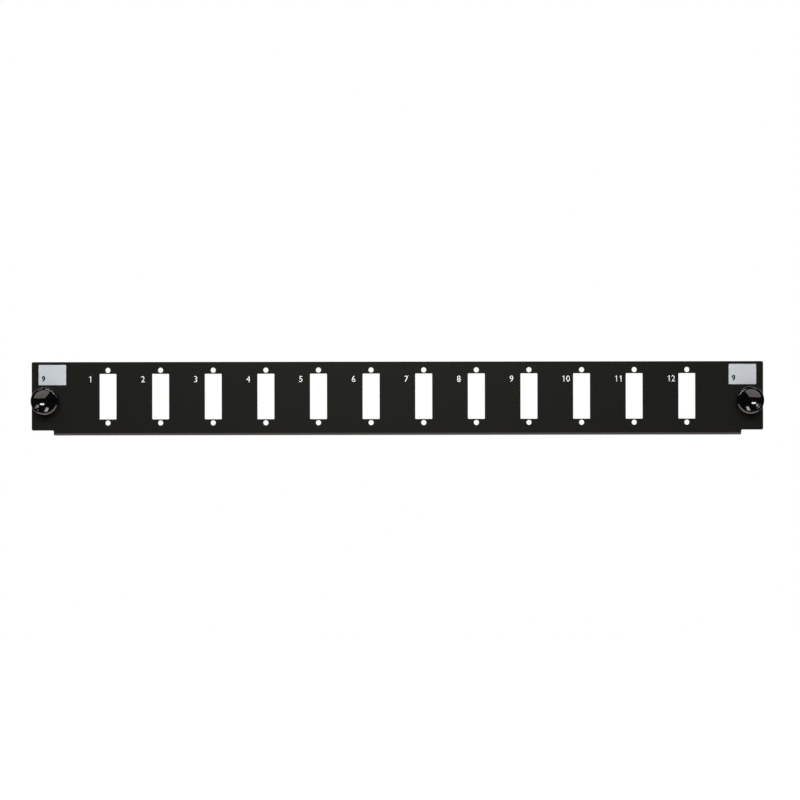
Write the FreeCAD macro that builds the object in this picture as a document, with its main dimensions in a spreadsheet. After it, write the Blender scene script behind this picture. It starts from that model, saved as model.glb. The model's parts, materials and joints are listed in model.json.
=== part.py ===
import FreeCAD, Part

import math
import os
import re

import Sketcher

# Fibre adapter plate: the removable front of a rack fibre tray.
#
# The part stands upright in its own frame. X runs along the plate, +Z is up and the front faces -Y.
# The origin is the middle of the plate's back face, on the centre line of the ports.
# Seven pieces: a plate folded from one sheet, two stuck-on labels, and two push-pull latches,
# each of them a split grommet with a plunger that slides in it.

# Driving sizes, in millimetres: name, value, meaning
SIZES = (
    ("port_count", 12, "adapter ports in one row"),
    ("port_pitch", 30.7, "port centre to port centre"),
    ("port_width", 9.9, "port opening across"),
    ("port_height", 26.5, "port opening upwards"),
    ("port_corner", 0.45, "rounding of the port's corners"),
    ("screw_diameter", 3.0, "adapter screw hole"),
    ("screw_web", 0.6, "sheet left between a port and its screw hole"),
    ("top_margin", 3.35, "screw hole to the plate's top edge"),
    ("tab_margin", 2.9, "screw hole to the foot of the plate's end tabs"),
    ("row_end", 44.45, "last port's centre to the plate's end"),
    ("sheet_thickness", 1.2, "steel sheet"),
    ("plate_corner", 1.0, "rounding of the sheet's outer corners"),
    ("bend_radius", 0.4, "inside of the fold"),
    ("notch_length", 12.8, "end tab beside the fold, along the plate"),
    ("notch_corner", 0.6, "rounding where the fold's ends meet the end tabs"),
    ("fold_relief", 0.75, "flat sheet between the notch's corner and the fold"),
    ("flange_depth", 12.0, "plate's front face to the flange's rear edge"),
    ("knob_diameter", 16.0, "plunger's knob"),
    ("knob_margin", 0.9, "knob to the plate's end, seen from the front"),
    ("latch_drop", 2.5, "latch axis below the port centre line"),
    ("label_width", 16.0, "label across"),
    ("label_inset", 4.1, "label to the plate's end"),
    ("label_drop", 1.65, "label to the plate's top edge"),
    ("label_gap", 1.25, "label to the knob below it"),
    ("label_thickness", 0.15, "foil and glue"),
    ("label_corner", 0.3, "rounding of the label's corners"),
    ("stem_diameter", 4.9, "plunger's stem"),
    ("stem_clearance", 0.05, "stem in the grommet's bore, each side"),
    ("collar_step", 0.55, "plunger's collar above its stem"),
    ("collar_clearance", 0.1, "collar between the grommet's legs, each side"),
    ("collar_length", 1.6, "collar along the stem"),
    ("nose_step", 1.2, "end of the plunger's nose below its collar"),
    ("nose_length", 1.2, "cone behind the collar"),
    ("plunger_travel", 5.0, "from pushed in to pulled out"),
    ("travel_spare", 0.2, "left between collar and bore when pulled out"),
    ("leg_wall", 0.85, "grommet's legs beside the collar"),
    ("tip_wall", 0.6, "grommet's legs at their tips"),
    ("tip_cover", 0.6, "legs reach past the pushed-in collar"),
    ("grommet_clearance", 0.05, "grommet's shank in the plate's hole, each side"),
    ("flange_reach", 3.0, "grommet's front flange beyond its hole, each side"),
    ("grommet_rim", 1.4, "thickness of the grommet's front flange"),
    ("grommet_round", 0.4, "rounding of the flange's front edge"),
    ("guide_length", 2.4, "tight bore behind the plate's front face"),
    ("tray_wall", 2.0, "thickest tray wall that the latch reaches through"),
    ("grip_play", 0.1, "play of the latch behind the tray wall"),
    ("barb_reach", 0.85, "barb's height above the shank"),
    ("barb_land", 0.5, "flat on top of the barb"),
    ("slot_width", 1.2, "gap between two legs"),
    ("slot_start", 0.9, "slots begin behind the plate's front face"),
    ("seat_gap", 0.2, "knob to the grommet's flange when pushed in"),
    ("knob_height", 7.0, "knob from its seat to its rim"),
    ("knob_band", 3.2, "upright side of the knob"),
    ("knob_taper", 2.2, "knob's seat inside its side, all round"),
    ("rim_round", 1.15, "outer rounding of the knob's rim"),
    ("rim_flat", 0.6, "top of the rim between its rounding and the dish"),
    ("band_round", 0.5, "rounding under the knob's side"),
    ("dish_depth", 1.6, "dish below the rim"),
    ("dish_round", 0.25, "rounding between rim and dish"),
)

# Sizes and places that follow from the driving ones, as formulas in their names
PLATE_END = "(port_pitch * (port_count - 1) / 2 + row_end)"
PLATE_TOP = "(port_height / 2 + screw_web + screw_diameter + top_margin)"
TAB_FOOT = "(port_height / 2 + screw_web + screw_diameter + tab_margin)"
SCREW_UP = "(port_height / 2 + screw_web + screw_diameter / 2)"
FOLD_OUTSIDE = "(bend_radius + sheet_thickness)"
FOLD_END = f"({PLATE_END} - notch_length)"
FOLD_FOOT = f"({TAB_FOOT} + notch_corner + fold_relief + {FOLD_OUTSIDE})"
LATCH_ACROSS = f"({PLATE_END} - knob_margin - knob_diameter / 2)"
LABEL_FOOT = "(knob_diameter / 2 - latch_drop + label_gap)"
LABEL_HEIGHT = f"({PLATE_TOP} - label_drop - {LABEL_FOOT})"
STEM = "(stem_diameter / 2)"
BORE = f"({STEM} + stem_clearance)"
COLLAR = f"({STEM} + collar_step)"
CAVITY = f"({COLLAR} + collar_clearance)"
SHANK = f"({CAVITY} + leg_wall)"
LATCH_HOLE = f"({SHANK} + grommet_clearance)"
SHOULDER = "(guide_length + plunger_travel + travel_spare)"
LEG_END = f"({SHOULDER} + collar_length + tip_cover)"

EDGE_TOLERANCE = 1e-5
CUT_SHARE = 1e-6
HORIZONTAL = -1
VERTICAL = -2


def new_sheet(document):
    """Fill the spreadsheet: column A names, column B values with their aliases, column C meanings."""
    sheet = document.addObject("Spreadsheet::Sheet", "Sizes")
    for row, (name, value, meaning) in enumerate(SIZES, start=1):
        sheet.set(f"A{row}", name)
        sheet.set(f"B{row}", str(value))
        sheet.set(f"C{row}", meaning)
        sheet.setAlias(f"B{row}", name)
    document.recompute()
    return sheet


def sized(text):
    """Turn a formula in the sheet's names into one that an object of the document can hold."""
    return re.sub(r"[a-z]+_[a-z_]+", r"Sizes.\g<0>", text)


def number(holder, text):
    """Work out such a formula now, as a plain number."""
    return float(holder.evalExpression(sized(text)))


def new_body(label):
    """Add one piece to the document."""
    body = doc.addObject("PartDesign::Body", label)
    body.Label = label
    return body


def place_body(body, across, along, upward):
    """Put a piece where three formulas say, and keep it there when a size changes."""
    for axis, text in (("x", across), ("y", along), ("z", upward)):
        body.setExpression(f"Placement.Base.{axis}", sized(text))


def origin_feature(body, role):
    """Find one of a body's own origin planes or axes."""
    return next(item for item in body.Origin.OriginFeatures if item.Role == role)


def new_sketch(body, name, role):
    """Start a sketch on one of the body's own origin planes."""
    sketch = body.newObject("Sketcher::SketchObject", name)
    sketch.AttachmentSupport = [(origin_feature(body, role), "")]
    sketch.MapMode = "FlatFace"
    return sketch


def bind_constraint(sketch, text, kind, *where):
    """Add a dimension to a sketch and tie it to a formula."""
    index = sketch.addConstraint(Sketcher.Constraint(kind, *where, number(sketch, text)))
    sketch.setExpression(f"Constraints[{index}]", sized(text))


def hold_point(sketch, geometry, vertex, across, upward):
    """Hold a vertex at two formulas from the sketch's origin; "0" puts it on the axis itself."""
    if across == "0":
        sketch.addConstraint(Sketcher.Constraint("PointOnObject", geometry, vertex, VERTICAL))
    else:
        bind_constraint(sketch, across, "DistanceX", -1, 1, geometry, vertex)
    if upward == "0":
        sketch.addConstraint(Sketcher.Constraint("PointOnObject", geometry, vertex, HORIZONTAL))
    else:
        bind_constraint(sketch, upward, "DistanceY", -1, 1, geometry, vertex)


def draw_polygon(sketch, corners):
    """Draw a closed outline of straight lines through (across, upward) formulas."""
    spots = []
    for across, upward in corners:
        spots.append(FreeCAD.Vector(number(sketch, across), number(sketch, upward), 0))
    first = sketch.GeometryCount
    for index, spot in enumerate(spots):
        following = spots[(index + 1) % len(spots)]
        sketch.addGeometry(Part.LineSegment(spot, following), False)
    for index in range(len(spots)):
        following = (index + 1) % len(spots)
        joint = Sketcher.Constraint("Coincident", first + index, 2, first + following, 1)
        sketch.addConstraint(joint)
    for index, (across, upward) in enumerate(corners):
        hold_point(sketch, first + index, 1, across, upward)


def draw_rectangle(sketch, across, upward, half_width, half_height):
    """Draw an upright rectangle from formulas for its centre and half its width and height."""
    draw_polygon(sketch, [
        (f"{across} {side} {half_width}", f"{upward} {level} {half_height}")
        for side, level in ("--", "+-", "++", "-+")
    ])


def draw_circle(sketch, across, upward, radius):
    """Draw a circle from formulas for its centre and its radius."""
    centre = FreeCAD.Vector(number(sketch, across), number(sketch, upward), 0)
    circle = Part.Circle(centre, FreeCAD.Vector(0, 0, 1), number(sketch, radius))
    index = sketch.addGeometry(circle, False)
    hold_point(sketch, index, 3, across, upward)
    bind_constraint(sketch, radius, "Radius", index)


def draw_half_disc(sketch, upward, radius):
    """Draw a half disc on the sketch's upright axis, which spins into a ball with its poles on that axis."""
    centre = FreeCAD.Vector(0, number(sketch, upward), 0)
    reach = FreeCAD.Vector(0, number(sketch, radius), 0)
    circle = Part.Circle(centre, FreeCAD.Vector(0, 0, 1), reach.Length)
    arc = sketch.addGeometry(Part.ArcOfCircle(circle, -math.pi / 2, math.pi / 2), False)
    line = sketch.addGeometry(Part.LineSegment(centre + reach, centre - reach), False)
    sketch.addConstraint(Sketcher.Constraint("Coincident", arc, 2, line, 1))
    sketch.addConstraint(Sketcher.Constraint("Coincident", arc, 1, line, 2))
    sketch.addConstraint(Sketcher.Constraint("PointOnObject", arc, 1, VERTICAL))
    sketch.addConstraint(Sketcher.Constraint("PointOnObject", arc, 2, VERTICAL))
    hold_point(sketch, arc, 3, "0", upward)
    bind_constraint(sketch, radius, "Radius", arc)


def pad(body, sketch, length, both_ways=False):
    """Pull a sketch's outline into a solid."""
    feature = body.newObject("PartDesign::Pad", f"{sketch.Name}_pad")
    feature.Profile = sketch
    feature.SideType = "Symmetric" if both_ways else "One side"
    feature.setExpression("Length", sized(length))
    sketch.Visibility = False
    return feature


def cut_through(body, sketch, both_ways=False):
    """Cut a sketch's outline right through, on the side where the sheet or the piece lies."""
    feature = body.newObject("PartDesign::Pocket", f"{sketch.Name}_cut")
    feature.Profile = sketch
    feature.Type = "ThroughAll"
    feature.SideType = "Symmetric" if both_ways else "One side"
    feature.Reversed = not both_ways
    sketch.Visibility = False
    return feature


def spin(body, sketch, kind):
    """Turn a sketch's outline round its own upright axis: a Revolution adds and a Groove cuts."""
    feature = body.newObject(f"PartDesign::{kind}", f"{sketch.Name}_spin")
    feature.Profile = sketch
    feature.ReferenceAxis = (sketch, ["V_Axis"])
    feature.Angle = 360
    sketch.Visibility = False
    return feature


def round_edges(body, name, radius, spots):
    """Round the edges of the piece so far that pass through the given points."""
    doc.recompute()
    base = body.Tip
    edges = []
    for spot in spots:
        place = [number(base, text) for text in spot]
        point = Part.Vertex(FreeCAD.Vector(*place))
        for index, edge in enumerate(base.Shape.Edges, start=1):
            if edge.distToShape(point)[0] < EDGE_TOLERANCE:
                edges.append(f"Edge{index}")
    feature = body.newObject("PartDesign::Fillet", name)
    feature.Base = (base, edges)
    feature.setExpression("Radius", sized(radius))
    return feature


def make_front_plate():
    """Fold the plate: a flat front, a narrower flange along its foot, ports, screw and latch holes."""
    body = new_body("front_plate")
    front = "-sheet_thickness"
    middle = "-sheet_thickness / 2"
    rear = "flange_depth - sheet_thickness"
    inside = f"sheet_thickness - {FOLD_FOOT}"

    outline = new_sketch(body, "front_outline", "XZ_Plane")
    draw_polygon(outline, [
        (f"-{PLATE_END}", f"-{TAB_FOOT}"),
        (PLATE_END, f"-{TAB_FOOT}"),
        (PLATE_END, PLATE_TOP),
        (f"-{PLATE_END}", PLATE_TOP),
    ])
    pad(body, outline, "sheet_thickness")

    section = new_sketch(body, "flange_section", "YZ_Plane")
    draw_polygon(section, [
        (front, "0"),
        (front, f"-{FOLD_FOOT}"),
        (rear, f"-{FOLD_FOOT}"),
        (rear, inside),
        ("0", inside),
        ("0", "0"),
    ])
    pad(body, section, f"2 * {FOLD_END}", both_ways=True)

    round_edges(body, "outside_of_fold", FOLD_OUTSIDE, [("0", front, f"-{FOLD_FOOT}")])
    round_edges(body, "inside_of_fold", "bend_radius", [("0", "0", inside)])
    round_edges(body, "plate_corners", "plate_corner", [
        (f"{side} {PLATE_END}", middle, level) for side in "-+" for level in (PLATE_TOP, f"-{TAB_FOOT}")
    ])
    round_edges(body, "notch_corners", "notch_corner", [
        (f"{side} {FOLD_END}", middle, f"-{TAB_FOOT}") for side in "-+"
    ])
    round_edges(body, "flange_corners", "plate_corner", [
        (f"{side} {FOLD_END}", rear, f"sheet_thickness / 2 - {FOLD_FOOT}") for side in "-+"
    ])

    first_port = "-port_pitch * (port_count - 1) / 2"
    port = new_sketch(body, "port_outline", "XZ_Plane")
    draw_rectangle(port, first_port, "0", "port_width / 2", "port_height / 2")
    port_cut = cut_through(body, port)
    port_rounding = round_edges(body, "port_corners", "port_corner", [
        (f"{first_port} {side} port_width / 2", middle, f"{level} port_height / 2")
        for side in "-+"
        for level in "-+"
    ])

    screws = new_sketch(body, "screw_holes", "XZ_Plane")
    draw_circle(screws, first_port, SCREW_UP, "screw_diameter / 2")
    draw_circle(screws, first_port, f"-{SCREW_UP}", "screw_diameter / 2")
    screw_cut = cut_through(body, screws)

    row = body.newObject("PartDesign::LinearPattern", "port_row")
    row.Originals = [port_cut, port_rounding, screw_cut]
    row.Direction = (port, ["H_Axis"])
    row.setExpression("Length", sized("port_pitch * (port_count - 1)"))
    row.setExpression("Occurrences", sized("port_count"))
    body.Tip = row

    latch = new_sketch(body, "latch_holes", "XZ_Plane")
    draw_circle(latch, LATCH_ACROSS, "-latch_drop", LATCH_HOLE)
    draw_circle(latch, f"-{LATCH_ACROSS}", "-latch_drop", LATCH_HOLE)
    cut_through(body, latch)
    return body


def make_label(side, sign):
    """Stick a plain foil label on the front, between the knob and the plate's top edge."""
    body = new_body(f"label_{side}")
    outline = new_sketch(body, f"label_{side}_outline", "XZ_Plane")
    draw_rectangle(outline, "0", "0", "label_width / 2", f"{LABEL_HEIGHT} / 2")
    pad(body, outline, "label_thickness")
    round_edges(body, f"label_{side}_corners", "label_corner", [
        (f"{across} label_width / 2", "-label_thickness / 2", f"{level} {LABEL_HEIGHT} / 2")
        for across in "-+"
        for level in "-+"
    ])
    place_body(
        body,
        f"{sign} ({PLATE_END} - label_inset - label_width / 2)",
        "-sheet_thickness",
        f"{LABEL_FOOT} + {LABEL_HEIGHT} / 2",
    )
    return body


def place_latch(body, sign):
    """Turn a latch piece so that its own +Z faces forward, and put it on its hole's axis."""
    body.Placement = FreeCAD.Placement(FreeCAD.Vector(), FreeCAD.Rotation(FreeCAD.Vector(1, 0, 0), 90))
    place_body(body, f"{sign} {LATCH_ACROSS}", "-sheet_thickness", "-latch_drop")


def make_grommet(side, sign):
    """Mould a grommet: front flange, split shank through plate and tray wall, barb and tapered legs."""
    body = new_body(f"grommet_{side}")
    flange = f"{LATCH_HOLE} + flange_reach"
    grip = "-(sheet_thickness + tray_wall + grip_play)"
    barb = f"{SHANK} + barb_reach"

    section = new_sketch(body, f"grommet_{side}_section", "XZ_Plane")
    draw_polygon(section, [
        (BORE, "grommet_rim"),
        (flange, "grommet_rim"),
        (flange, "0"),
        (SHANK, "0"),
        (SHANK, grip),
        (barb, f"{grip} - barb_reach"),
        (barb, f"{grip} - barb_reach - barb_land"),
        (f"{CAVITY} + tip_wall", f"-{LEG_END}"),
        (CAVITY, f"-{LEG_END}"),
        (CAVITY, "-guide_length"),
        (BORE, "-guide_length"),
    ])
    spin(body, section, "Revolution")
    round_edges(body, f"grommet_{side}_edge", "grommet_round", [(flange, "0", "grommet_rim")])

    slot = new_sketch(body, f"grommet_{side}_slot", "XZ_Plane")
    draw_polygon(slot, [
        ("-slot_width / 2", f"-{LEG_END} - slot_width"),
        ("slot_width / 2", f"-{LEG_END} - slot_width"),
        ("slot_width / 2", "-slot_start"),
        ("-slot_width / 2", "-slot_start"),
    ])
    slot_cut = cut_through(body, slot, both_ways=True)
    legs = body.newObject("PartDesign::PolarPattern", f"grommet_{side}_legs")
    legs.Originals = [slot_cut]
    legs.Axis = (section, ["V_Axis"])
    legs.Angle = 90
    legs.Occurrences = 2
    body.Tip = legs
    place_latch(body, sign)
    return body


def make_plunger(side, sign):
    """Turn a plunger: dished knob in front, stem through the grommet, collar and nose behind."""
    body = new_body(f"plunger_{side}")
    knob = "knob_diameter / 2"
    seat = "grommet_rim + seat_gap"
    rim = f"{seat} + knob_height"
    collar_end = f"-{SHOULDER} - collar_length"
    nose_end = f"{collar_end} - nose_length"

    section = new_sketch(body, f"plunger_{side}_section", "XZ_Plane")
    draw_polygon(section, [
        ("0", rim),
        (knob, rim),
        (knob, f"{rim} - knob_band"),
        (f"{knob} - knob_taper", seat),
        (STEM, seat),
        (STEM, f"-{SHOULDER}"),
        (COLLAR, f"-{SHOULDER}"),
        (COLLAR, collar_end),
        (f"{COLLAR} - nose_step", nose_end),
        ("0", nose_end),
    ])
    spin(body, section, "Revolution")

    reach = f"({knob} - rim_round - rim_flat)"
    ball = f"({reach} ^ 2 + dish_depth ^ 2) / (2 * dish_depth)"
    dish = new_sketch(body, f"plunger_{side}_dish", "XY_Plane")
    dish.setExpression("AttachmentOffset.Base.z", sized(f"{rim} - dish_depth + {ball}"))
    draw_half_disc(dish, "0", ball)
    spin(body, dish, "Groove")

    round_edges(body, f"plunger_{side}_rim", "rim_round", [(knob, "0", rim)])
    round_edges(body, f"plunger_{side}_band", "band_round", [(knob, "0", f"{rim} - knob_band")])
    round_edges(body, f"plunger_{side}_lip", "dish_round", [(reach, "0", rim)])
    place_latch(body, sign)
    return body


def check_document(pieces):
    """Stop if a feature has failed or a piece isn't one whole solid."""
    for item in doc.Objects:
        if {"Invalid", "Error"} & set(item.State):
            raise RuntimeError(f"{item.Label} has failed: {item.State}")
    for piece in pieces:
        shape = piece.Shape
        if shape.isNull() or not shape.isValid() or len(shape.Solids) != 1:
            raise RuntimeError(f"{piece.Label} is not one valid solid")


def check_cuts(pieces):
    """Stop if a pocket, a groove or its pattern takes nothing off the piece."""
    cutting = ("Pocket", "Groove", "LinearPattern", "PolarPattern")
    for piece in pieces:
        for feature in piece.Group:
            if not feature.TypeId.endswith(cutting):
                continue
            if feature.Shape.Volume >= feature.BaseFeature.Shape.Volume * (1 - CUT_SHARE):
                raise RuntimeError(f"{feature.Label} cuts nothing")


doc = FreeCAD.newDocument("fibre_adapter_plate")
new_sheet(doc)
parts = [make_front_plate()]
for name, direction in (("left", "-"), ("right", "+")):
    parts.append(make_label(name, direction))
    parts.append(make_grommet(name, direction))
    parts.append(make_plunger(name, direction))
doc.recompute()

check_document(parts)
check_cuts(parts)
os.makedirs("parts", exist_ok=True)
for part in parts:
    part.Shape.exportStep(f"parts/{part.Label}.step")
    box = part.Shape.BoundBox
    print(f"{part.Label}: {part.Shape.Volume:.1f} mm3, x {box.XMin:.2f} to {box.XMax:.2f},"
          f" y {box.YMin:.2f} to {box.YMax:.2f}, z {box.ZMin:.2f} to {box.ZMax:.2f}")
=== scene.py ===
import json
import math

import bmesh
import bpy
from bpy.props import FloatProperty, FloatVectorProperty, IntProperty, PointerProperty
from bpy.types import Operator, Panel, PropertyGroup
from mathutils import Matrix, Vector


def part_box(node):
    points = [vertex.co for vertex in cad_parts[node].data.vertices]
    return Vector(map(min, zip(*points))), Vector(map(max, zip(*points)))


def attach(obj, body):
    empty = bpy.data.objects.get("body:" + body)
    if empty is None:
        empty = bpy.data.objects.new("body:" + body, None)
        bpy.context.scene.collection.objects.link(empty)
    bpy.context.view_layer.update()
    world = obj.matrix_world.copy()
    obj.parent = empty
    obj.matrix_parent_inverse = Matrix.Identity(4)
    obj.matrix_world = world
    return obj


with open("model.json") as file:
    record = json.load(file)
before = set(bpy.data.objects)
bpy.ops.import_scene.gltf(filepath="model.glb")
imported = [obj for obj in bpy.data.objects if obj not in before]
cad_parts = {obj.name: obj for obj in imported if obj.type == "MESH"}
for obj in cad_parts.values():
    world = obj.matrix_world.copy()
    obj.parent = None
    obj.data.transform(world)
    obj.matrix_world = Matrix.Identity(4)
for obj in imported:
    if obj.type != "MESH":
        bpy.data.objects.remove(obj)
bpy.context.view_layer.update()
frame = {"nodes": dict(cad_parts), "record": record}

bl_info = {
    "name": "Fibre Adapter Plate",
    "version": (1, 0, 0),
    "blender": (4, 5, 0),
    "location": "View3D > Sidebar > Adapter Plate",
    "description": "Finishes, printed numbers and a plain studio for a fibre adapter plate",
    "category": "Object",
}

RECORD = frame["record"]
PLATE_BODY = "plate"
PLATE = "front_plate"
LABELS = ("label_left", "label_right")
GROMMETS = ("grommet_left", "grommet_right")
PLUNGERS = ("plunger_left", "plunger_right")
PLATE_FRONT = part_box("label_left")[1].y
PORTS = [mount["pos_m"][0] for mount in RECORD["mounts"] if mount["kind"] == "bolt_pattern"]
PORT_BOX = next(box for box in RECORD["physics"]["openings"] if box["name"] == "port_1")["box_m"]

BUILTIN_CAP = 0.682  # height of a digit of size 1 in Blender's built-in letters
DIGIT_WIDTH = 0.93  # width of a printed digit against the built-in one
FLOOR_DEPTH = 2.2  # floor from front to back, in camera distances
FLOOR_GLOW = 0.92  # with the lamps' light on top, the floor then reads white
REAR_START = 0.5  # a direction whose Y is above this counts as behind the plate

# Lamps aimed at the plate's middle: name, place, width, height, brightness setting, seen in gloss
LAMPS = (
    ("key_panel", (-0.2, -4, 1.105), 1.45, 0.5, "key", True),
    ("upper_panel", (0, -4, 2.3), 1, 0.3, "upper", False),
    ("middle_box", (0, -0.464, 0.244), 0.1125, 0.13, "middle", True),
    ("centre_lamp", (-0.02, -0.24, 0.18), 0.1, 0.1, "centre", False),
    ("rear_panel", (0, 1.6, 0.7), 1.4, 0.7, "rear", True),
)
# Soft box aimed at the right plunger's knob; its twin at the left is aimed at the other knob
SIDE_BOX_PLACE = (0.39, -0.3, 0.3)
SIDE_BOX_WIDTH = 0.11
SIDE_BOX_HEIGHT = 0.16


def colour_property(name, description, default):
    """Declare a linear colour that a user may change."""
    return FloatVectorProperty(
        name=name, description=description, subtype="COLOR", size=4, min=0, max=1, default=default
    )


def length_property(name, description, default):
    """Declare a length in metres that a user may change."""
    return FloatProperty(
        name=name, description=description, default=default, precision=5,
        subtype="DISTANCE", unit="LENGTH"
    )


def light_property(name, description, default):
    return FloatProperty(name=name, description=description, default=default, min=0)


def share_property(name, description, default):
    """Declare a share from 0 to 1 that a user may change."""
    return FloatProperty(
        name=name, description=description, default=default, min=0, max=1, subtype="FACTOR"
    )


class CoatSettings(PropertyGroup):
    """Satin powder coat of the folded plate."""

    colour: colour_property("Coat", "Colour of the powder coat", (0.0093, 0.0090, 0.0075, 1))
    roughness: share_property("Roughness", "How matt the coat is", 0.42)
    ripple: length_property("Ripple", "Width of the coat's orange-peel ripples", 0.0011)
    grain: length_property("Grain", "Width of the coat's fine grain", 0.0003)


class PrintSettings(PropertyGroup):
    """White port numbers printed on the plate."""

    ink: colour_property("Ink", "Colour of the printed numbers", (0.68, 0.68, 0.68, 1))
    cap: length_property("Height", "Height of a number", 0.0035)
    advance: length_property("Advance", "From one digit to the next", 0.0026)
    rise: length_property("Rise", "Middle of the numbers above the middle of the ports", 0.01016)
    lead: length_property("Lead", "Start of a number to the left of its port", 0.0067)
    pair_lead: length_property("Pair lead", "Two-digit numbers start further left by this", 0.0003)
    weight: length_property("Weight", "Thickening of the numbers' strokes", 0.00002)
    film: length_property("Film", "Thickness of the ink", 0.00003)


class LabelSettings(PropertyGroup):
    """Silver labels with one small plain number each."""

    foil: colour_property("Foil", "Colour of the label's film", (0.54, 0.57, 0.597, 1))
    roughness: share_property("Roughness", "How matt the film is", 0.55)
    ink: colour_property("Ink", "Colour of the number on the label", (0.004, 0.004, 0.004, 1))
    number: IntProperty(name="Number", description="Number on both labels", default=9, min=0, max=9)
    cap: length_property("Height", "Height of the number", 0.0029)
    weight: length_property("Weight", "Thickening of the number's strokes", 0.00018)
    inset: length_property("Inset", "Number to the label's left edge", 0.0018)
    foot: length_property("Foot", "Number above the label's lower edge", 0.0023)


class LatchSettings(PropertyGroup):
    """Black plastic of the push-pull latches."""

    knob: colour_property("Knob", "Colour of the plungers", (0.0018, 0.0018, 0.0018, 1))
    knob_roughness: share_property("Knob roughness", "How matt the plungers are", 0.05)
    grommet: colour_property("Grommet", "Colour of the grommets", (0.009, 0.009, 0.009, 1))
    grommet_roughness: share_property("Grommet roughness", "How matt the grommets are", 0.38)


class StudioSettings(PropertyGroup):
    """Pale floor, soft lights and the camera."""

    floor: colour_property("Floor", "Colour of the pale floor", (0.82, 0.82, 0.82, 1))
    floor_sheen: colour_property("Floor sheen", "Floor colour in gloss", (0.97, 0.77, 0.74, 1))
    floor_drop: length_property("Floor", "Floor below the ports' centre line", 0.298)
    floor_side: length_property("Floor side", "Middle of the floor to its side edges", 0.49)
    key: light_property("Key", "Brightness of the far key panel", 14.5)
    upper: light_property("Upper", "Brightness of the panel above the key", 80)
    middle: light_property("Middle", "Brightness of the middle soft box", 3.3)
    centre: light_property("Centre", "Brightness of the centre lamp", 24.5)
    sides: light_property("Sides", "Brightness of the side soft boxes", 4.6)
    rear: light_property("Rear", "Brightness of the panel behind", 9)
    room: light_property("Room", "Fill light from the room", 0.06)
    dark: light_property("Dark", "Brightness of the room in reflections", 0.01)
    distance: length_property("Distance", "Camera to the plate's front face", 1.0)
    lens: FloatProperty(
        name="Lens", description="Camera's focal length", default=77.155, min=1, unit="CAMERA"
    )
    camera_across: length_property("Across", "Camera to the right of the plate's middle", 0.0015)
    camera_up: length_property("Up", "Camera above the ports' centre line", -0.0022)
    roll: FloatProperty(
        name="Roll", description="Camera's roll", default=math.radians(0.088),
        subtype="ANGLE", unit="ROTATION"
    )


def new_group(name, inputs, outputs):
    """Start a shader node group with float inputs, given with their defaults, and float outputs."""
    group = bpy.data.node_groups.new(name, "ShaderNodeTree")
    for label, default in inputs:
        socket = group.interface.new_socket(label, in_out="INPUT", socket_type="NodeSocketFloat")
        socket.default_value = default
    for label in outputs:
        group.interface.new_socket(label, in_out="OUTPUT", socket_type="NodeSocketFloat")
    entry = group.nodes.new("NodeGroupInput")
    leave = group.nodes.new("NodeGroupOutput")
    return group, entry, leave


def math_node(tree, operation, first, second):
    """Add a Math node; each input is a socket to link or a number."""
    node = tree.nodes.new("ShaderNodeMath")
    node.operation = operation
    for socket, value in zip(node.inputs, (first, second)):
        if isinstance(value, (int, float)):
            socket.default_value = value
        else:
            tree.links.new(value, socket)
    return node.outputs[0]


def grain_group():
    """Uneven surface at one width in metres: Value runs from 0 to 1 about 0.5."""
    name = "Surface grain"
    if name in bpy.data.node_groups:
        return bpy.data.node_groups[name]
    group, entry, leave = new_group(name, [("Width", 0.001), ("Detail", 2)], ["Value"])
    place = group.nodes.new("ShaderNodeTexCoord")
    noise = group.nodes.new("ShaderNodeTexNoise")
    group.links.new(place.outputs["Object"], noise.inputs["Vector"])
    group.links.new(math_node(group, "DIVIDE", 1, entry.outputs["Width"]), noise.inputs["Scale"])
    group.links.new(entry.outputs["Detail"], noise.inputs["Detail"])
    group.links.new(noise.outputs["Fac"], leave.inputs["Value"])
    return group


def speck_group():
    """Sparse fine specks, such as dust and nicks: Mask is 1 on a speck and 0 elsewhere."""
    name = "Fine specks"
    if name in bpy.data.node_groups:
        return bpy.data.node_groups[name]
    group, entry, leave = new_group(name, [("Spacing", 0.002), ("Size", 0.06)], ["Mask"])
    place = group.nodes.new("ShaderNodeTexCoord")
    cells = group.nodes.new("ShaderNodeTexVoronoi")
    group.links.new(place.outputs["Object"], cells.inputs["Vector"])
    group.links.new(math_node(group, "DIVIDE", 1, entry.outputs["Spacing"]), cells.inputs["Scale"])
    near = math_node(group, "LESS_THAN", cells.outputs["Distance"], entry.outputs["Size"])
    group.links.new(near, leave.inputs["Mask"])
    return group


def new_material(name):
    """Start a material and return it with its tree and its Principled shader."""
    material = bpy.data.materials.new(name)
    material.use_nodes = True
    return material, material.node_tree, material.node_tree.nodes["Principled BSDF"]


def place_group(tree, group, **values):
    """Put a node group in a material with its own values."""
    node = tree.nodes.new("ShaderNodeGroup")
    node.node_tree = group
    for label, value in values.items():
        node.inputs[label].default_value = value
    return node


def spread(tree, value, low, high):
    """Spread a 0 to 1 value between two numbers."""
    node = tree.nodes.new("ShaderNodeMapRange")
    node.inputs["To Min"].default_value = low
    node.inputs["To Max"].default_value = high
    tree.links.new(value, node.inputs["Value"])
    return node.outputs["Result"]


def tone(tree, colour, factor, low, high):
    """Lighten and darken a colour by a 0 to 1 factor, and return the colour socket."""
    mix = tree.nodes.new("ShaderNodeMix")
    mix.data_type = "RGBA"
    mix.inputs["A"].default_value = (*(channel * low for channel in colour[:3]), 1)
    mix.inputs["B"].default_value = (*(channel * high for channel in colour[:3]), 1)
    tree.links.new(factor, mix.inputs["Factor"])
    return mix.outputs["Result"]


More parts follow.
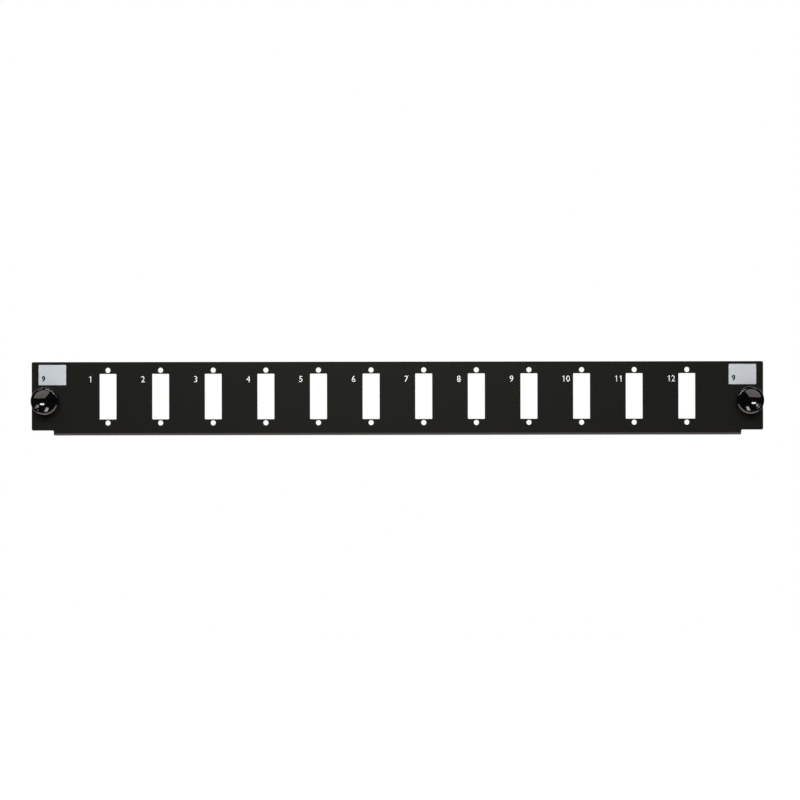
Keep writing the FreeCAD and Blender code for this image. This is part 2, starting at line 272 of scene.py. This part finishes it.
def raise_surface(tree, shader, height, depth, strength):
    """Give a shader a bump from a 0 to 1 height, with its depth in metres."""
    bump = tree.nodes.new("ShaderNodeBump")
    bump.inputs["Strength"].default_value = strength
    bump.inputs["Distance"].default_value = depth
    tree.links.new(height, bump.inputs["Height"])
    tree.links.new(bump.outputs["Normal"], shader.inputs["Normal"])


def downward_mask(tree, share):
    """A mask that has the given share on faces that look downwards and 0 elsewhere."""
    slope = -0.1
    facing = tree.nodes.new("ShaderNodeTexCoord")
    parts = tree.nodes.new("ShaderNodeSeparateXYZ")
    tree.links.new(facing.outputs["Normal"], parts.inputs["Vector"])
    downward = math_node(tree, "LESS_THAN", parts.outputs["Z"], slope)
    return math_node(tree, "MULTIPLY", downward, share)


def powder_coat(settings):
    """Satin black powder coat: ripples, a fine grain, and more gloss on the underside."""
    material, tree, shader = new_material("satin_powder_coat")
    shader.inputs["Specular IOR Level"].default_value = 0.06
    shader.inputs["Coat Roughness"].default_value = 0.3
    tree.links.new(downward_mask(tree, 0.85), shader.inputs["Coat Weight"])
    ripple = place_group(tree, grain_group(), Width=settings.ripple, Detail=1).outputs["Value"]
    grain = place_group(tree, grain_group(), Width=settings.grain, Detail=3).outputs["Value"]
    patches = place_group(tree, grain_group(), Width=0.03, Detail=2).outputs["Value"]
    colour = tone(tree, settings.colour, grain, low=0.3, high=1.7)
    tree.links.new(colour, shader.inputs["Base Color"])
    rough = spread(tree, patches, settings.roughness - 0.05, settings.roughness + 0.05)
    tree.links.new(rough, shader.inputs["Roughness"])
    height = math_node(tree, "ADD", ripple, math_node(tree, "MULTIPLY", grain, 0.25))
    raise_surface(tree, shader, height, depth=0.00002, strength=0.6)
    return material


def label_foil(settings):
    """Satin silver film, a little uneven in sheen."""
    material, tree, shader = new_material("silver_label_film")
    shader.inputs["Metallic"].default_value = 0.25
    patches = place_group(tree, grain_group(), Width=0.012, Detail=1).outputs["Value"]
    grain = place_group(tree, grain_group(), Width=0.00012, Detail=2).outputs["Value"]
    colour = tone(tree, settings.foil, grain, low=0.96, high=1.04)
    tree.links.new(colour, shader.inputs["Base Color"])
    rough = spread(tree, patches, settings.roughness - 0.06, settings.roughness + 0.06)
    tree.links.new(rough, shader.inputs["Roughness"])
    raise_surface(tree, shader, grain, depth=0.000004, strength=0.5)
    return material


def plunger_plastic(settings):
    """Gloss black plastic with a slight moulding ripple and a few specks."""
    material, tree, shader = new_material("gloss_black_plastic")
    shader.inputs["Specular IOR Level"].default_value = 0.9
    ripple = place_group(tree, grain_group(), Width=0.004, Detail=0).outputs["Value"]
    patches = place_group(tree, grain_group(), Width=0.0015, Detail=3).outputs["Value"]
    specks = place_group(tree, speck_group(), Spacing=0.0011, Size=0.03).outputs["Mask"]
    colour = tone(tree, settings.knob, specks, low=1, high=4)
    tree.links.new(colour, shader.inputs["Base Color"])
    rough = spread(tree, patches, settings.knob_roughness, settings.knob_roughness + 0.06)
    dusty = math_node(tree, "ADD", rough, math_node(tree, "MULTIPLY", specks, 0.15))
    tree.links.new(dusty, shader.inputs["Roughness"])
    raise_surface(tree, shader, ripple, depth=0.00001, strength=0.3)
    return material


def grommet_plastic(settings):
    """Plain moulded black plastic, duller than the plungers."""
    material, tree, shader = new_material("satin_black_plastic")
    grain = place_group(tree, grain_group(), Width=0.0002, Detail=2).outputs["Value"]
    patches = place_group(tree, grain_group(), Width=0.003, Detail=2).outputs["Value"]
    colour = tone(tree, settings.grommet, patches, low=0.8, high=1.25)
    tree.links.new(colour, shader.inputs["Base Color"])
    rough = settings.grommet_roughness
    tree.links.new(spread(tree, grain, rough - 0.05, rough + 0.05), shader.inputs["Roughness"])
    raise_surface(tree, shader, grain, depth=0.00001, strength=0.4)
    return material


def printed_ink(name, colour):
    """Matt screen-printed ink with slightly uneven cover."""
    material, tree, shader = new_material(name)
    shader.inputs["Specular IOR Level"].default_value = 0.2
    grain = place_group(tree, grain_group(), Width=0.00025, Detail=2).outputs["Value"]
    tree.links.new(tone(tree, colour, grain, low=0.9, high=1.1), shader.inputs["Base Color"])
    tree.links.new(spread(tree, grain, 0.5, 0.62), shader.inputs["Roughness"])
    return material


def finish_nodes(names, material):
    """Give CAD nodes a material in place of their plain one."""
    for name in names:
        node = frame["nodes"][name]
        node.data.materials.clear()
        node.data.materials.append(material)


def deselect():
    """Leave edit mode and deselect everything."""
    if bpy.context.mode != "OBJECT":
        bpy.ops.object.mode_set(mode="OBJECT")
    bpy.ops.object.select_all(action="DESELECT")


def activate(*objects):
    """Select only these objects and make the first of them active."""
    deselect()
    for item in objects:
        item.select_set(True)
    bpy.context.view_layer.objects.active = objects[0]


def select_vertices(where):
    """In edit mode, select the vertices whose place passes a test, with the edges between them."""
    mesh = bmesh.from_edit_mesh(bpy.context.object.data)
    for vertex in mesh.verts:
        vertex.select = where(vertex.co)
    mesh.select_flush_mode()
    mesh.select_flush(False)
    bmesh.update_edit_mesh(bpy.context.object.data)


def model_one(cap, weight, film):
    """Model the figure 1 flat in XY: a stem with a slanting flag at its head, then its depth."""
    stem = 0.125 * cap + 2 * weight
    right = 0.50 * cap
    flag_reach = 0.19 * cap
    flag_fall = 0.17 * cap
    flag_foot = 0.70 * cap
    deselect()
    bpy.ops.mesh.primitive_plane_add(size=1, location=(0, 0, 0))
    one = bpy.context.object
    bpy.ops.object.mode_set(mode="EDIT")
    bpy.ops.transform.resize(value=(stem, cap, 1))
    bpy.ops.transform.translate(value=(right - stem / 2, cap / 2, 0))
    bpy.ops.mesh.bisect(plane_co=(0, flag_foot + flag_fall, 0), plane_no=(0, 1, 0))
    left = right - stem
    select_vertices(lambda place: place.x < left + stem / 4 and place.y > flag_foot)
    bpy.ops.mesh.extrude_region_move(
        TRANSFORM_OT_translate={"value": (-flag_reach, -flag_fall, 0)}
    )
    bpy.ops.mesh.select_all(action="SELECT")
    bpy.ops.mesh.normals_make_consistent(inside=False)
    bpy.ops.mesh.extrude_region_move(TRANSFORM_OT_translate={"value": (0, 0, film)})
    bpy.ops.mesh.select_all(action="SELECT")
    bpy.ops.mesh.normals_make_consistent(inside=False)
    bpy.ops.object.mode_set(mode="OBJECT")
    return one


def model_digit(character, cap, weight, film):
    """Model one digit flat in XY, its foot on the X axis and its start at the origin."""
    if character == "1":
        return model_one(cap, weight, film)
    deselect()
    bpy.ops.object.text_add(location=(0, 0, 0))
    text = bpy.context.object
    text.data.body = character
    text.data.size = cap / BUILTIN_CAP
    text.data.extrude = film / 2
    text.data.bevel_depth = weight
    text.data.bevel_resolution = 0
    bpy.ops.object.convert(target="MESH")
    digit = bpy.context.object
    bpy.ops.object.mode_set(mode="EDIT")
    bpy.ops.mesh.select_all(action="SELECT")
    bpy.ops.mesh.remove_doubles(threshold=cap / 10000)
    bpy.ops.transform.resize(value=(DIGIT_WIDTH, 1, film / (film + 2 * weight)))
    bpy.ops.transform.translate(value=(0, 0, film / 2))
    bpy.ops.object.mode_set(mode="OBJECT")
    return digit


def print_words(name, words, cap, weight, advance, film, material):
    """Print words of digits as one piece: each is its text, left edge, foot and face it lies on."""
    masters = {}
    for text, left, foot, face in words:
        for index, character in enumerate(text):
            if character not in masters:
                masters[character] = (model_digit(character, cap, weight, film), [])
            masters[character][1].append((left + index * advance, foot, face))
    placed = []
    for master, spots in masters.values():
        for left, foot, face in spots:
            copy = master.copy()
            copy.data = master.data.copy()
            bpy.context.collection.objects.link(copy)
            copy.rotation_euler = (math.radians(90), 0, 0)
            copy.location = (left, face, foot)
            placed.append(copy)
        bpy.data.objects.remove(master)
    activate(*placed)
    bpy.ops.object.join()
    bpy.ops.object.transform_apply(location=True, rotation=True, scale=True)
    piece = bpy.context.object
    piece.name = name
    piece.data.materials.clear()
    piece.data.materials.append(material)
    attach(piece, PLATE_BODY)
    return piece


class ADAPTER_OT_powder_coat(Operator):
    """Coat the folded plate"""

    bl_idname = "adapter.powder_coat"
    bl_label = "Coat Plate"

    def execute(self, context):
        finish_nodes([PLATE], powder_coat(context.scene.adapter_coat))
        return {"FINISHED"}


class ADAPTER_OT_port_numbers(Operator):
    """Print a number to the left of each port"""

    bl_idname = "adapter.port_numbers"
    bl_label = "Print Port Numbers"

    def execute(self, context):
        settings = context.scene.adapter_print
        half_port = (PORT_BOX[1][0] - PORT_BOX[0][0]) / 2
        foot = settings.rise - settings.cap / 2
        words = []
        for index, across in enumerate(sorted(PORTS), start=1):
            text = str(index)
            lead = settings.lead + settings.pair_lead * (len(text) - 1)
            words.append((text, across - half_port - lead, foot, PLATE_FRONT))
        ink = printed_ink("number_ink", settings.ink)
        print_words(
            "port_numbers", words, settings.cap, settings.weight, settings.advance,
            settings.film, ink
        )
        return {"FINISHED"}


class ADAPTER_OT_foil_labels(Operator):
    """Finish the labels and print the same plain number on each"""

    bl_idname = "adapter.foil_labels"
    bl_label = "Finish Labels"

    def execute(self, context):
        settings = context.scene.adapter_label
        finish_nodes(LABELS, label_foil(settings))
        film = context.scene.adapter_print.film
        words = []
        for name in LABELS:
            low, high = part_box(name)
            left, foot = low.x + settings.inset, low.z + settings.foot
            words.append((str(settings.number), left, foot, low.y))
        ink = printed_ink("label_ink", settings.ink)
        print_words("label_numbers", words, settings.cap, settings.weight, settings.cap, film, ink)
        return {"FINISHED"}


class ADAPTER_OT_latches(Operator):
    """Finish the plungers and the grommets"""

    bl_idname = "adapter.latches"
    bl_label = "Finish Latches"

    def execute(self, context):
        settings = context.scene.adapter_latch
        finish_nodes(PLUNGERS, plunger_plastic(settings))
        finish_nodes(GROMMETS, grommet_plastic(settings))
        return {"FINISHED"}


def seen_rays(tree, kinds):
    """A mask that is 1 for the given kinds of ray."""
    path = tree.nodes.new("ShaderNodeLightPath")
    mask = path.outputs[kinds[0]]
    for kind in kinds[1:]:
        mask = math_node(tree, "MAXIMUM", mask, path.outputs[kind])
    return mask


def floor_material(settings):
    """Pale floor: white to the camera, tinted in gloss, keeps shadows and hides from below."""
    material, tree, shader = new_material("studio_floor")
    tree.nodes.remove(shader)
    diffuse = tree.nodes.new("ShaderNodeBsdfDiffuse")
    diffuse.inputs["Color"].default_value = settings.floor
    glow = tree.nodes.new("ShaderNodeEmission")
    tint = tree.nodes.new("ShaderNodeMix")
    tint.data_type = "RGBA"
    tint.inputs["A"].default_value = (1, 1, 1, 1)
    tint.inputs["B"].default_value = settings.floor_sheen
    tree.links.new(seen_rays(tree, ("Is Glossy Ray",)), tint.inputs["Factor"])
    tree.links.new(tint.outputs["Result"], glow.inputs["Color"])
    seen = seen_rays(tree, ("Is Camera Ray", "Is Glossy Ray", "Is Transmission Ray"))
    tree.links.new(math_node(tree, "MULTIPLY", seen, FLOOR_GLOW), glow.inputs["Strength"])
    both = tree.nodes.new("ShaderNodeAddShader")
    tree.links.new(diffuse.outputs["BSDF"], both.inputs[0])
    tree.links.new(glow.outputs["Emission"], both.inputs[1])
    clear = tree.nodes.new("ShaderNodeBsdfTransparent")
    sides = tree.nodes.new("ShaderNodeMixShader")
    geometry = tree.nodes.new("ShaderNodeNewGeometry")
    tree.links.new(geometry.outputs["Backfacing"], sides.inputs["Fac"])
    tree.links.new(both.outputs["Shader"], sides.inputs[1])
    tree.links.new(clear.outputs["BSDF"], sides.inputs[2])
    tree.links.new(sides.outputs["Shader"], tree.nodes["Material Output"].inputs["Surface"])
    return material


def build_floor(settings):
    """A finite pale floor below the plate, reaching from behind it to the camera."""
    deselect()
    bpy.ops.mesh.primitive_plane_add(size=1, location=(0, 0, 0))
    floor = bpy.context.object
    floor.name = "studio_floor"
    floor.scale = (2 * settings.floor_side, FLOOR_DEPTH * settings.distance, 1)
    floor.location = (0, 0, -settings.floor_drop)
    floor.data.materials.append(floor_material(settings))


def build_world(settings):
    """A dim room in front, and a white background behind the plate for camera and gloss."""
    world = bpy.data.worlds.new("studio_room")
    bpy.context.scene.world = world
    world.use_nodes = True
    tree = world.node_tree
    background = tree.nodes["Background"]
    direction = tree.nodes.new("ShaderNodeTexCoord")
    parts = tree.nodes.new("ShaderNodeSeparateXYZ")
    tree.links.new(direction.outputs["Generated"], parts.inputs["Vector"])
    behind = math_node(tree, "GREATER_THAN", parts.outputs["Y"], REAR_START)
    glossy = seen_rays(tree, ("Is Glossy Ray",))
    reflected = math_node(tree, "MULTIPLY", glossy, behind)
    direct = seen_rays(tree, ("Is Camera Ray", "Is Transmission Ray"))
    white = math_node(tree, "MAXIMUM", direct, reflected)
    dim = spread(tree, glossy, settings.room, settings.dark)
    lit = tree.nodes.new("ShaderNodeMix")
    tree.links.new(white, lit.inputs["Factor"])
    tree.links.new(dim, lit.inputs["A"])
    lit.inputs["B"].default_value = 1
    tree.links.new(lit.outputs["Result"], background.inputs["Strength"])
    background.inputs["Color"].default_value = (1, 1, 1, 1)


def add_softbox(name, place, aim, width, height, radiance, mirrored):
    """Add an area light of the given radiance that the camera doesn't see and gloss may mirror."""
    deselect()
    bpy.ops.object.light_add(type="AREA", location=place)
    lamp = bpy.context.object
    lamp.name = name
    lamp.data.shape = "RECTANGLE"
    lamp.data.size = width
    lamp.data.size_y = height
    lamp.data.energy = radiance * math.pi * width * height
    lamp.rotation_mode = "QUATERNION"
    lamp.rotation_quaternion = (aim - Vector(place)).to_track_quat("-Z", "Y")
    lamp.visible_camera = False
    lamp.visible_glossy = mirrored


def build_camera(settings):
    """Set up the camera square in front of the plate, with a trace of roll."""
    deselect()
    place = (settings.camera_across, PLATE_FRONT - settings.distance, settings.camera_up)
    bpy.ops.object.camera_add(location=place)
    camera = bpy.context.object
    camera.name = "studio_camera"
    camera.rotation_euler = (math.radians(90), settings.roll, 0)
    camera.data.sensor_width = 36
    camera.data.lens = settings.lens
    bpy.context.scene.camera = camera


class ADAPTER_OT_studio(Operator):
    """Build the floor, the room, the lights and the camera"""

    bl_idname = "adapter.studio"
    bl_label = "Build Studio"

    def execute(self, context):
        settings = context.scene.adapter_studio
        build_floor(settings)
        build_world(settings)
        middle = Vector((0, 0, 0))
        for name, place, width, height, brightness, mirrored in LAMPS:
            add_softbox(name, place, middle, width, height, getattr(settings, brightness), mirrored)
        across, back, up = SIDE_BOX_PLACE
        for name, side in zip(PLUNGERS, (-1, 1)):
            low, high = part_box(name)
            knob = (low + high) / 2
            place = (side * across, back, up)
            add_softbox(
                f"{name}_box", place, knob, SIDE_BOX_WIDTH, SIDE_BOX_HEIGHT, settings.sides, True
            )
        build_camera(settings)
        context.scene.view_settings.view_transform = "Standard"
        return {"FINISHED"}


class ADAPTER_PT_panel(Panel):
    """List the steps that dress the plate"""

    bl_idname = "ADAPTER_PT_panel"
    bl_label = "Adapter Plate"
    bl_space_type = "VIEW_3D"
    bl_region_type = "UI"
    bl_category = "Adapter Plate"

    def draw(self, context):
        for operator, settings in STEPS:
            self.layout.operator(operator.bl_idname)
            if settings is None:
                continue
            group = getattr(context.scene, settings)
            for name in group.bl_rna.properties.keys():
                if name not in {"rna_type", "name"}:
                    self.layout.prop(group, name)


STEPS = (
    (ADAPTER_OT_powder_coat, "adapter_coat"),
    (ADAPTER_OT_port_numbers, "adapter_print"),
    (ADAPTER_OT_foil_labels, "adapter_label"),
    (ADAPTER_OT_latches, "adapter_latch"),
    (ADAPTER_OT_studio, "adapter_studio"),
)
SETTINGS = {
    "adapter_coat": CoatSettings,
    "adapter_print": PrintSettings,
    "adapter_label": LabelSettings,
    "adapter_latch": LatchSettings,
    "adapter_studio": StudioSettings,
}
CLASSES = (*SETTINGS.values(), *(operator for operator, _ in STEPS), ADAPTER_PT_panel)


def register():
    """Register the classes and hang the settings on the scene."""
    for item in CLASSES:
        bpy.utils.register_class(item)
    for name, group in SETTINGS.items():
        setattr(bpy.types.Scene, name, PointerProperty(type=group))


def unregister():
    """Take the settings off the scene and drop the classes."""
    for name in SETTINGS:
        delattr(bpy.types.Scene, name)
    for item in reversed(CLASSES):
        bpy.utils.unregister_class(item)


def main():
    """Dress the plate step by step."""
    register()
    bpy.ops.adapter.powder_coat()
    bpy.ops.adapter.port_numbers()
    bpy.ops.adapter.foil_labels()
    bpy.ops.adapter.latches()
    bpy.ops.adapter.studio()


if __name__ == "__main__":
    main()
